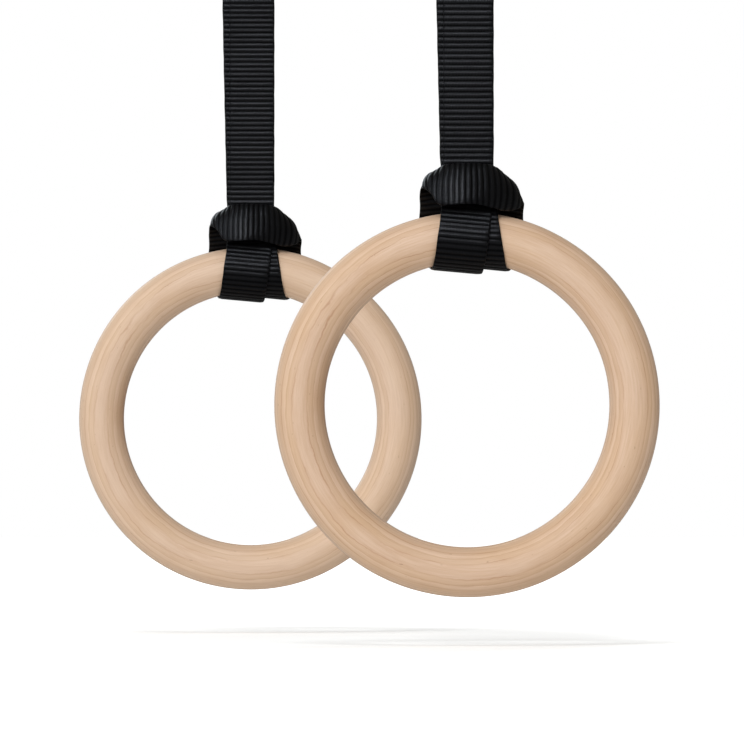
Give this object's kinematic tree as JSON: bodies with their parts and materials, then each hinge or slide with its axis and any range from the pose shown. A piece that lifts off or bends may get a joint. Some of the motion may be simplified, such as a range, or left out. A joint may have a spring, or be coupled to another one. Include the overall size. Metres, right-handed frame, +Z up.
{
  "type": "gymnastics rings",
  "caption": "Pair of round wooden grip rings, each hung by a girth hitch from a looped black webbing strap with a cam buckle.",
  "frame": {"origin": "under the middle of the pair, at the height of the lowest point of both rings", "axes": "+Z up along the straps, both rings' flat faces point to -Y, +X from the left ring towards the right ring; the right ring hangs 478 mm in front of the left one"},
  "size_m": [0.3908, 0.541, 0.7615],
  "materials": {
    "wood": "sanded satin birch plywood",
    "webbing": "ribbed black polyester webbing",
    "thread": "bonded black thread",
    "black_steel": "black e-coated steel",
    "zinc_steel": "zinc-plated",
    "spring_steel": "bright drawn wire"
  },
  "bodies": {
    "hung_tops": {"left_strap_top": "webbing", "right_strap_top": "webbing"},
    "left_hanger": {"left_strap_back_run": "webbing", "left_strap_free_end": "webbing", "left_strap_sewn_end": "webbing", "left_box_stitch": "thread", "left_buckle_frame": "black_steel", "left_anchor_bar": "zinc_steel", "left_cam_axle": "zinc_steel", "left_cam_spring": "spring_steel"},
    "left_cam": {"left_cam_lever": "black_steel"},
    "left_lower_strap": {"left_strap_lower_front": "webbing", "left_strap_lower_back": "webbing"},
    "left_hitch": {"left_strap_hitch": "webbing"},
    "left_grip": {"left_ring": "wood"},
    "right_hanger": {"right_strap_back_run": "webbing", "right_strap_free_end": "webbing", "right_strap_sewn_end": "webbing", "right_box_stitch": "thread", "right_buckle_frame": "black_steel", "right_anchor_bar": "zinc_steel", "right_cam_axle": "zinc_steel", "right_cam_spring": "spring_steel"},
    "right_cam": {"right_cam_lever": "black_steel"},
    "right_lower_strap": {"right_strap_lower_front": "webbing", "right_strap_lower_back": "webbing"},
    "right_hitch": {"right_strap_hitch": "webbing"},
    "right_grip": {"right_ring": "wood"}
  },
  "joints": [
    {"name": "left_swing", "type": "hinge", "parent": "hung_tops", "child": "left_hanger", "pos_m": [-0.07335, 0.239, 0.615], "axis": [1, 0, 0], "range_deg": [-12, 50]},
    {"name": "left_cam_release", "type": "hinge", "parent": "left_hanger", "child": "left_cam", "pos_m": [-0.07235, 0.226, 0.519], "axis": [-1, 0, 0], "range_deg": [0, 24]},
    {"name": "left_swivel", "type": "hinge", "parent": "left_hanger", "child": "left_lower_strap", "pos_m": [-0.07335, 0.239, 0.384], "axis": [0, 0, 1], "range_deg": [-90, 90]},
    {"name": "left_tilt", "type": "hinge", "parent": "left_lower_strap", "child": "left_hitch", "pos_m": [-0.07335, 0.239, 0.2875], "axis": [1, 0, 0], "range_deg": [-70, 70]},
    {"name": "left_spin", "type": "hinge", "parent": "left_hitch", "child": "left_grip", "pos_m": [-0.07335, 0.239, 0.122], "axis": [0, 1, 0], "continuous": true},
    {"name": "right_swing", "type": "hinge", "parent": "hung_tops", "child": "right_hanger", "pos_m": [0.07335, -0.239, 0.615], "axis": [-1, 0, 0], "range_deg": [-12, 50]},
    {"name": "right_cam_release", "type": "hinge", "parent": "right_hanger", "child": "right_cam", "pos_m": [0.07435, -0.252, 0.519], "axis": [-1, 0, 0], "range_deg": [0, 24]},
    {"name": "right_swivel", "type": "hinge", "parent": "right_hanger", "child": "right_lower_strap", "pos_m": [0.07335, -0.239, 0.384], "axis": [0, 0, 1], "range_deg": [-90, 90]},
    {"name": "right_tilt", "type": "hinge", "parent": "right_lower_strap", "child": "right_hitch", "pos_m": [0.07335, -0.239, 0.2875], "axis": [1, 0, 0], "range_deg": [-70, 70]},
    {"name": "right_spin", "type": "hinge", "parent": "right_hitch", "child": "right_grip", "pos_m": [0.07335, -0.239, 0.122], "axis": [0, 1, 0], "continuous": true}
  ]
}
